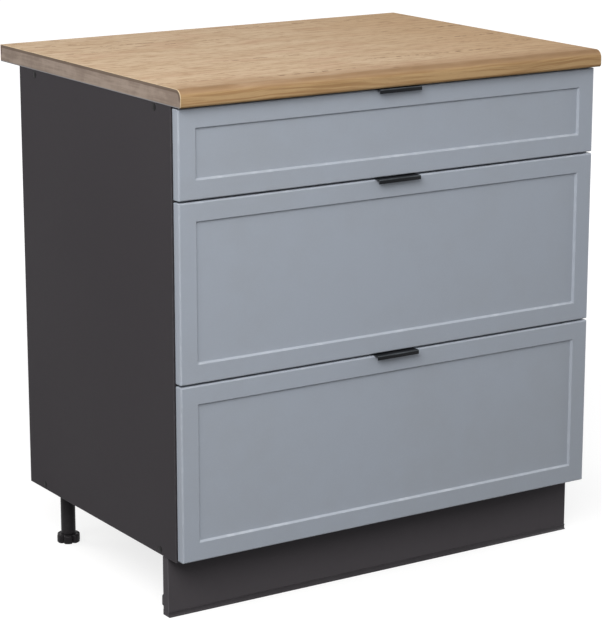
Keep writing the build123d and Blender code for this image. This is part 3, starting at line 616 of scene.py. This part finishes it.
# darker than the panels' graphite: painted shade standing for the shaded lower part of each dome
capShadedMoulding = {**blackMoulding, "colour": rgb(26, 25, 26), "worn": rgb(88, 86, 89), "roughness": 0.45,
               "specular": 0.07, "dust": 0.03, "depth": 0.01 * mm}
moulded = {"marks": (30.0, 260.0), "roughen": 0.5, "rubRange": (0.4, 0.62), "dustRange": (0.45, 0.75),
           "rubShare": 0.6, "roughSpan": 0.07}


def mouldedFinish(name, look):
    # powder coat or moulded plastic: fine skin, marks of use and paler rubbed edges from the wear attribute,
    # which on the handles' bends is also painted highlight
    material, tree, place = newMaterial(name)
    marks = marksOf(tree, place, *moulded["marks"])
    skin = skinOf(tree, place, look["skinScale"], moulded["roughen"])
    rubbedAndHighlight = times(tree, wearAndLightOf(tree), spread(tree, marks, *moulded["rubRange"], look["evenRub"], 1.0))
    dusty = spread(tree, marks, *moulded["dustRange"], 0.0, look["dust"])
    share = calc(tree, "MAXIMUM", times(tree, rubbedAndHighlight, moulded["rubShare"]), dusty)
    rough = spread(tree, marks, *noiseReach, look["roughness"] - moulded["roughSpan"],
                   look["roughness"] + moulded["roughSpan"])
    finishLook(tree, look, mixColour(tree, share, look["colour"], look["worn"]), rough, skin)
    return material


zinc = {"light": (0.62, 0.64, 0.66, 1), "dark": (0.40, 0.42, 0.45, 1), "spangle": 240.0, "flakeShare": 0.35,
        "marks": (12.0, 150.0), "toneRange": (0.2, 0.8), "rough": (0.28, 0.46), "lines": (1.0, 3.0, 0.7),
        "lineStretch": 0.02, "specular": 0.5, "depth": 0.03 * mm, "strength": 0.5}


def zincFinish(name, brushScale):
    # rolled and zinc plated: fine lines along Y, and cloudy spangle in colour and gloss
    material, tree, place = newMaterial(name)
    brushed = stretched(tree, place, (brushScale, brushScale * zinc["lineStretch"], brushScale))
    lines = noise(tree, brushed, *zinc["lines"])
    spangle = put(tree, "ShaderNodeTexVoronoi", {"Vector": place, "Scale": zinc["spangle"]}).outputs["Color"]
    flake = put(tree, "ShaderNodeSeparateColor", {0: spangle}).outputs[0]
    tone = blended(tree, flake, marksOf(tree, place, *zinc["marks"]), zinc["flakeShare"])
    colour = mixColour(tree, tone, zinc["dark"], zinc["light"])
    shader = finishLook(tree, zinc, colour, spread(tree, tone, *zinc["toneRange"], *zinc["rough"]), lines)
    shader.inputs["Metallic"].default_value = 1.0
    return material


hardboardFinish = makeHardboard()
drawerBaseFinish = makeDrawerBase()
lacquerFinish = makeLacquer()
coatFinish = mouldedFinish("black_powder_coat", coat)
blackPlastic = mouldedFinish("black_moulded_plastic", blackMoulding)
greyPlastic = mouldedFinish("graphite_moulded_plastic", greyMoulding)
capShadedPlastic = mouldedFinish("graphite_cap_plastic", capShadedMoulding)
runnerZinc = zincFinish("zinc_sheet", 2400.0)
screwZinc = zincFinish("zinc_screws", 5200.0)
print("materials made")


# Worktop
# the end bands' rim carries a painted highlight, and the shade line and faceWear place a line of painted
# shade inside it
worktop = {"noseTop": 13 * mm, "noseBottom": 5 * mm, "rearArris": 0.8 * mm, "steps": 10, "endLoop": 0.5 * mm,
           "bandArris": 0.3 * mm, "rim": 0.8 * mm, "shadeLine": 3.4 * mm, "shadeLineFade": 1.6, "leastRadius": 0.2 * mm,
           "faceWear": [0.5, 0.5, 0]}


def worktopOutline(low, high, inset=0.0):
    # the section, or the same drawn in: the sides move in by the inset and each radius shrinks by it
    rear, nose, bottom, top = high.y - inset, low.y + inset, low.z + inset, high.z - inset
    corners = [(rear, bottom), (rear, top), (nose, top), (nose, bottom)]
    radii = [worktop["rearArris"], worktop["rearArris"], worktop["noseTop"], worktop["noseBottom"]]
    radii = np.maximum(np.array(radii) - inset, worktop["leastRadius"])
    return roundedOutline(corners, radii, worktop["steps"])


def makeWorktop():
    # The map's second value is the way walked round the section from the first point of the nose's top arc.
    # The corners come as rear bottom, rear top, nose top and nose bottom, each with as many points.
    low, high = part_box("worktop")
    outline = worktopOutline(low, high)
    closed = np.vstack([outline, outline[:1]])
    walked = np.concatenate([[0], np.cumsum(np.linalg.norm(np.diff(closed, axis=0), axis=1))])
    perCorner = len(outline) // 4
    walked -= walked[2 * perCorner + 1]
    underStart = walked[4 * perCorner - 2]
    loop = worktop["endLoop"]
    stations = np.array([low.x, low.x + loop, high.x - loop, high.x])
    board = stack(sweptRings(outline, stations, np.zeros(len(stations))), u=stations, v=walked)
    addPiece("worktop_board", [board], makeOak(underStart), "carcass", "oak_laminate", "worktop")


def makeEndBands():
    # each band: its edge, a small rounded arris, a narrow rim for the painted highlight, the painted shade
    # line inside it and the flat face
    low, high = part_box("worktop_end_strips")
    boardLow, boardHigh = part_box("worktop")
    arris, rim, shadeLine = worktop["bandArris"], worktop["rim"], worktop["shadeLine"]
    faceInsets = [rim, rim + shadeLine, rim + worktop["shadeLineFade"] * shadeLine]
    turn = np.linspace(0, math.pi / 2, 4)
    wear = np.array([1] * (len(turn) + 1) + worktop["faceWear"])
    stacks = []
    for inner, outer in ((boardLow.x, low.x), (boardHigh.x, high.x)):
        outwards = np.sign(outer - inner)
        edge = outer - outwards * arris * (1 - np.sin(turn))
        stations = np.concatenate([[inner], edge, [outer] * len(faceInsets)])
        insets = np.concatenate([[0], arris * (1 - np.cos(turn)), faceInsets])
        outlines = [worktopOutline(boardLow, boardHigh, inset) for inset in insets]
        stacks.append(stack(carriedRings(outlines, stations), wear=wear))
    addPiece("worktop_end_bands", stacks, makeEndBand(low.z), "carcass", "end_band", "worktop_end_strips")


makeWorktop()
makeEndBands()
print("worktop made")


# Drawer fronts
front = {"arris": 2.5 * mm, "backArris": 0.6 * mm, "corner": 1.6 * mm, "border": 30 * mm, "bevel": 2.6 * mm,
         "recess": 3.8 * mm, "soften": 0.6 * mm, "recessCorner": 0.8 * mm, "backLoop": 1.8 * mm,
         "panelLoop": 4 * mm, "leastCorner": 0.3 * mm, "steps": 6, "support": 0.4 * mm, "bevelWearAndHighlight": 0.5}


def makeFront(drawer):
    # The section from the back's rim round the outer arris, over the border and down the bevel gives each
    # ring its inset and depth. Inset is measured from the outline, depth from the face towards the rear.
    low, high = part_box(f"front_{drawer}")
    thick = high.y - low.y
    panelInset = front["border"] + front["bevel"]
    section = [(front["backLoop"], thick), (0, thick), (0, 0), (front["border"], 0),
               (panelInset, front["recess"]), (panelInset + front["panelLoop"], front["recess"])]
    radii = [front["backArris"], front["arris"], front["soften"], front["soften"]]
    path = roundedOutline(section, radii, front["steps"], front["support"], closed=False)
    inset, depth = path.T
    outerRadius = np.maximum(front["corner"] - inset, front["leastCorner"])
    radius = np.where(inset > front["border"] / 2, front["recessCorner"], outerRadius)
    centre = ((low.x + high.x) / 2, low.y, (low.z + high.z) / 2)
    rings = rectangleRings(centre, (high.x - low.x) / 2 - inset, (high.z - low.z) / 2 - inset, radius, depth)
    # a corner has its arc's points and two support points, and the path starts with one point more
    perCorner = front["steps"] + 3
    wear = np.zeros(len(path))
    wear[2 + perCorner:2 * perCorner] = 1
    # the bevel's half wear pales it: painted highlight
    wear[2 + 2 * perCorner:4 * perCorner] = front["bevelWearAndHighlight"]
    addPiece(f"front_{drawer}_lacquered", [stack(rings, wear=wear)], lacquerFinish, f"drawer_{drawer}",
             "grey_blue_front", f"front_{drawer}")


# Handles
handle = {"sheet": 1.5 * mm, "lip": 7 * mm, "bend": 1.5 * mm, "innerBend": 0.35 * mm, "tip": 0.5 * mm,
          "endArris": 0.25 * mm, "endLoop": 0.3, "steps": 5, "support": 0.15 * mm, "bendWearAndHighlight": 0.9,
          "endWear": 0.5, "flatWear": 0.05}


def makeHandle(drawer):
    # a strip bent twice: the section of lip, plate and rear flange, carried along X
    low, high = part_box(f"handle_{drawer}")
    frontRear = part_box(f"front_{drawer}")[1].y
    sheet = handle["sheet"]
    corners = [(low.y, high.z - handle["lip"]), (low.y, high.z), (high.y, high.z), (high.y, low.z),
               (frontRear, low.z), (frontRear, high.z - sheet), (low.y + sheet, high.z - sheet),
               (low.y + sheet, high.z - handle["lip"])]
    tip, bend, innerBend = handle["tip"], handle["bend"], handle["innerBend"]
    radii = [tip, bend, bend, tip, tip, innerBend, innerBend, tip]
    outline = roundedOutline(corners, radii, handle["steps"], handle["support"])
    arris = handle["endArris"]
    loop = arris * handle["endLoop"]
    stations = [low.x, low.x + loop, low.x + arris, high.x - arris, high.x - loop, high.x]
    insets = [arris, loop, 0, 0, loop, arris]
    perCorner = handle["steps"] + 3
    # the bends are paler: rubbed paint and a painted highlight of light catching them
    bendWearAndHighlightColumns = np.zeros(len(outline))
    bendWearAndHighlightColumns[perCorner + 1:2 * perCorner - 1] = handle["bendWearAndHighlight"]
    end, flat = handle["endWear"], handle["flatWear"]
    wear = np.maximum(np.array([end, end, flat, flat, end, end])[:, None], bendWearAndHighlightColumns)
    addPiece(f"handle_{drawer}_pull", [stack(sweptRings(outline, stations, insets), wear=wear)], coatFinish,
             f"drawer_{drawer}", "black_metal", f"handle_{drawer}")


for drawer in ("top", "middle", "bottom"):
    makeFront(drawer)
    makeHandle(drawer)
print("fronts and handles made")


# Legs
foot = {"radius": 20 * mm, "height": 15 * mm, "sole": 2.0 * mm, "shoulder": 3.5 * mm, "soleLoop": 2 * mm,
        "notches": 6, "notchTurn": math.radians(30), "notchDepth": 0.24, "notchSharpness": 6.0,
        "notchEnd": 0.5 * mm, "notchFade": 0.4 * mm, "stem": 7.95 * mm, "stemTop": 70 * mm,
        "stemGap": 0.6 * mm, "pitch": 2.5 * mm, "rowsPerPitch": 8, "thread": 0.55 * mm, "threadTop": 42 * mm,
        "wear": (0.5, 0.1)}
tube = {"outer": 12.5 * mm, "inner": 8.0 * mm, "arris": 0.7 * mm, "innerArris": 0.2 * mm, "wear": 0.9}


def footShape(angle, height):
    # Below the top the radius dips at each notch, by a cosine raised to a power. Above it the stem's thread
    # is a cosine of height over pitch less angle, and the smooth stem goes on over that.
    dip = (0.5 + 0.5 * np.cos(foot["notches"] * (angle - foot["notchTurn"]))) ** foot["notchSharpness"]
    inDisc = np.clip((foot["height"] + foot["notchEnd"] - height) / foot["notchFade"], 0, 1)[:, None]
    inThread = ((height > foot["height"] + mm) & (height < foot["threadTop"]))[:, None]
    wave = 0.5 + 0.5 * np.cos(2 * math.pi * height[:, None] / foot["pitch"] - angle[None, :])
    return 1 - foot["notchDepth"] * dip[None, :] * inDisc - foot["thread"] / foot["stem"] * wave * inThread


def makeFoot(name):
    low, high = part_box(name)
    centre = ((low.x + high.x) / 2, (low.y + high.y) / 2, 0)
    radius, height, gap = foot["radius"], foot["height"], foot["stemGap"]
    discCorners = [(foot["soleLoop"], 0), (radius, 0), (radius, height), (foot["stem"] + gap, height)]
    discRadii = [foot["sole"], foot["shoulder"]]
    disc = roundedOutline(discCorners, discRadii, steps=7, support=0.4 * mm, closed=False)
    threadRows = np.arange(height + gap, foot["threadTop"], foot["pitch"] / foot["rowsPerPitch"])
    stem = np.column_stack([np.full(len(threadRows), foot["stem"]), threadRows])
    top = [(foot["stem"], foot["stemTop"] - mm), (foot["stem"] - mm, foot["stemTop"])]
    profile = np.vstack([disc, stem, top])
    wear = np.where(np.arange(len(profile)) < len(disc), *foot["wear"])
    rings = turnedRings(centre, profile, sides=72, shape=footShape)
    addPiece(f"{name}_lobed", [stack(rings, wear=wear)], blackPlastic, name, "black_plastic", name)
    return centre[:2]


def makeTubes(places):
    # each tube is a closed wall: up the outside, over the rim, down the inside and back
    low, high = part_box("leg_tubes")
    outer, inner, arris, innerArris = tube["outer"], tube["inner"], tube["arris"], tube["innerArris"]
    corners = [(outer, low.z), (outer, high.z), (inner, high.z), (inner, low.z)]
    wall = roundedOutline(corners, [arris, innerArris, innerArris, arris], steps=5)
    wear = np.where(wall[:, 1] < low.z + 2 * arris, tube["wear"], 0.0)
    stacks = [stack(turnedRings((x, y, 0), wall, sides=64), wear=wear, hollow=True) for x, y in places]
    addPiece("leg_tubes_moulded", stacks, blackPlastic, "carcass", "black_plastic", "leg_tubes")


makeTubes([makeFoot(f"foot_{place}") for place in ("front_left", "front_right", "rear_left", "rear_right")])
print("legs made")


# Screw caps and the plinth's seal
cap = {"radius": 6 * mm, "rise": 0.8 * mm, "proud": 0.7 * mm, "edge": 0.2 * mm, "depth": 0.9 * mm,
       "middle": 0.04, "rows": 9, "wallWear": [0, 0.4, 0.3], "faceWear": 0.15}


def makeCaps():
    # a shallow dome, a little proud of the panel: the face drops with the square of the radius' share
    low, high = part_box("screw_caps")
    radius = cap["radius"]
    share = np.linspace(1, cap["middle"], cap["rows"])
    drop = cap["rise"] * share ** 2
    faceRadius = (radius - cap["edge"]) * share
    wear = np.array(cap["wallWear"] + [cap["faceWear"]] * (len(share) - 1))
    stacks = []
    for side, outer in ((-1, low.x - cap["proud"]), (1, high.x + cap["proud"])):
        wall = [(radius, outer - side * cap["depth"]), (radius, outer - side * (cap["rise"] + cap["edge"]))]
        profile = np.vstack([wall, np.column_stack([faceRadius, outer - side * drop])])
        for y in (low.y + radius, high.y - radius):
            for z in (low.z + radius, high.z - radius):
                stacks.append(stack(turnedRings((0, y, z), profile, axis="X", sides=32), wear=wear))
    addPiece("screw_cap_domes", stacks, capShadedPlastic, "carcass", "graphite_plastic", "screw_caps")


seal = {"lipReach": 2.6 * mm, "lipTip": 0.45 * mm, "tipWide": 0.3 * mm, "lipTop": 2.4 * mm,
        "bead": 0.8 * mm, "beadHeight": 1.8 * mm, "beadRun": (0.8, 0.3), "tipRadius": 0.15 * mm,
        "lipRadius": 1.2 * mm, "radius": 0.16 * mm, "endLoop": 0.2 * mm, "endInset": 0.1 * mm,
        "wear": [1, 0.2, 0.2, 1]}


def makeSeal():
    # the channel round the plinth's lower edge, with a soft lip that turns out in front at the floor
    low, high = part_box("plinth_seal")
    boardLow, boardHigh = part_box("plinth_board")
    tip, bead, beadHeight = low.y - seal["lipReach"], low.y - seal["bead"], seal["beadHeight"]
    beadFrom, beadTo = (high.z - share * beadHeight for share in seal["beadRun"])
    corners = [(tip, low.z), (tip + seal["tipWide"], low.z + seal["lipTip"]), (low.y, low.z + seal["lipTop"]),
               (low.y, high.z - beadHeight), (bead, beadFrom), (bead, beadTo),
               (boardLow.y, high.z), (boardLow.y, boardLow.z),
               (boardHigh.y, boardLow.z), (boardHigh.y, high.z), (high.y, high.z), (high.y, low.z)]
    radii = [seal["tipRadius"]] * 2 + [seal["lipRadius"]] + [seal["radius"]] * (len(corners) - 3)
    outline = roundedOutline(corners, radii, steps=3, support=0.05 * mm)
    loop, inset = seal["endLoop"], seal["endInset"]
    rings = sweptRings(outline, [low.x, low.x + loop, high.x - loop, high.x], [inset, 0, 0, inset])
    addPiece("plinth_seal_lip", [stack(rings, wear=np.array(seal["wear"]))], greyPlastic, "carcass",
             "black_plastic", "plinth_seal")


makeCaps()
makeSeal()
print("caps and seal made")


# Finishes of the pieces that stay as packed, by the names of their materials in the frame. Boards also list
# the directions, as axis and sign, in which their cut edges are raw.
toRear, downwards = (1, 1), (2, -1)
boardLooks = {"graphite_board": (graphite, [toRear]), "plinth_board": (plinthLitGraphite, []),
              "white_board": (white, [downwards])}
plainLooks = {"fibreboard": hardboardFinish, "drawer_base": drawerBaseFinish,
              "grey_blue_front": lacquerFinish, "black_metal": coatFinish, "black_plastic": blackPlastic,
              "graphite_plastic": greyPlastic, "runner_steel": runnerZinc, "zinc_steel": screwZinc}


def dressNodes():
    for name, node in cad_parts.items():
        for materialSlot in node.material_slots:
            look = materialSlot.material.name.split(".")[0]
            if look in boardLooks:
                values, raw = boardLooks[look]
                low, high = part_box(name)
                materialSlot.material = facedBoard(f"{name}_finish", values, low, high, raw)
            elif look in plainLooks:
                materialSlot.material = plainLooks[look]


dressNodes()
print("packed pieces dressed")


# Floor, light and camera
studio = {"floorHalf": 16.0, "floorBounce": 0.07, "floorSeen": 0.28, "glowNear": 0.78, "glowFar": 0.95,
          "glowReach": (0.9, 3.0), "skyLight": 0.37, "skySeen": 1.0, "lampAim": (0, 0, 0.45)}
# each lamp has its place, size, power and colour
lamps = {
    "key": ((-1.8, -2.1, 2.35), 1.7, 80.0, (1.0, 0.99, 0.975)),
    "front": ((-0.6, -3.4, 1.4), 2.2, 16.0, (1.0, 1.0, 1.0)),
    "side": ((-3.4, -1.3, 2.9), 1.4, 32.0, (1.0, 1.0, 1.0)),
    "top": ((-0.9, 0.9, 3.2), 1.6, 8.0, (1.0, 0.99, 0.98)),
    "fill": ((4.4, -0.3, 1.6), 2.2, 95.0, (0.98, 0.99, 1.0)),
    "rear": ((-2.6, 3.4, 2.6), 2.2, 50.0, (1.0, 0.99, 0.98)),
}
shot = {"place": (-2.2095, -3.4312, 1.4062), "target": (0.0034, -0.0022, 0.3805), "lens": 138.62,
        "sensor": 36.0}


def seenRays(tree):
    # 1 for what the camera sees directly, in gloss or through glass
    ray = tree.nodes.new("ShaderNodeLightPath").outputs
    gloss = calc(tree, "MAXIMUM", ray["Is Camera Ray"], ray["Is Glossy Ray"])
    return calc(tree, "MAXIMUM", gloss, ray["Is Transmission Ray"])


def makeFloor():
    # other pieces get a soft dark bounce from it, and the camera sees a matt floor that glows towards white
    half = studio["floorHalf"]
    corners = [(-half, -half, 0), (half, -half, 0), (half, half, 0), (-half, half, 0)]
    mesh = bpy.data.meshes.new("studio_floor")
    mesh.from_pydata(corners, [], [(0, 1, 2, 3)])
    floor = addObject("studio_floor", mesh)
    material = bpy.data.materials.new("pale_floor")
    material.use_nodes = True
    tree = material.node_tree
    tree.nodes.remove(tree.nodes["Principled BSDF"])
    bounce = put(tree, "ShaderNodeBsdfDiffuse", {"Color": (studio["floorBounce"],) * 3 + (1,)}).outputs[0]
    matt = put(tree, "ShaderNodeBsdfDiffuse", {"Color": (studio["floorSeen"],) * 3 + (1,)}).outputs[0]
    away = put(tree, "ShaderNodeVectorMath", {0: placeOf(tree)}, operation="LENGTH").outputs["Value"]
    strength = spread(tree, away, *studio["glowReach"], studio["glowNear"], studio["glowFar"])
    glow = put(tree, "ShaderNodeEmission", {"Color": (1, 1, 1, 1), "Strength": strength}).outputs[0]
    seen = put(tree, "ShaderNodeAddShader", {0: matt, 1: glow}).outputs[0]
    mixed = put(tree, "ShaderNodeMixShader", {0: seenRays(tree), 1: bounce, 2: seen}).outputs[0]
    tree.links.new(mixed, tree.nodes["Material Output"].inputs["Surface"])
    mesh.materials.append(material)


def makeSky():
    world = bpy.data.worlds.new("studio_sky")
    world.use_nodes = True
    bpy.context.scene.world = world
    tree = world.node_tree
    plain = tree.nodes["Background"]
    plain.inputs["Strength"].default_value = studio["skyLight"]
    plain.inputs["Color"].default_value = (1, 1, 1, 1)
    seen = put(tree, "ShaderNodeBackground", {"Color": (1, 1, 1, 1), "Strength": studio["skySeen"]})
    given = {0: seenRays(tree), 1: plain.outputs[0], 2: seen.outputs[0]}
    mixed = put(tree, "ShaderNodeMixShader", given).outputs[0]
    tree.links.new(mixed, tree.nodes["World Output"].inputs["Surface"])


def addAimed(name, data, place, target):
    # lamps and cameras look along their own -Z
    made = addObject(name, data)
    made.location = place
    made.rotation_euler = (Vector(target) - made.location).to_track_quat("-Z", "Y").to_euler()
    return made


def makeLamps():
    for name, (place, size, power, colour) in lamps.items():
        light = bpy.data.lights.new(f"{name}_lamp", "AREA")
        light.shape = "SQUARE"
        light.size = size
        light.energy = power
        light.color = colour
        addAimed(f"{name}_lamp", light, place, studio["lampAim"])


def makeCamera():
    lens = bpy.data.cameras.new("photo_camera")
    lens.lens = shot["lens"]
    lens.sensor_width = shot["sensor"]
    bpy.context.scene.camera = addAimed("photo_camera", lens, shot["place"], shot["target"])


makeFloor()
makeSky()
makeLamps()
makeCamera()
bpy.context.scene.view_settings.view_transform = "Standard"
print("floor, light and camera made")
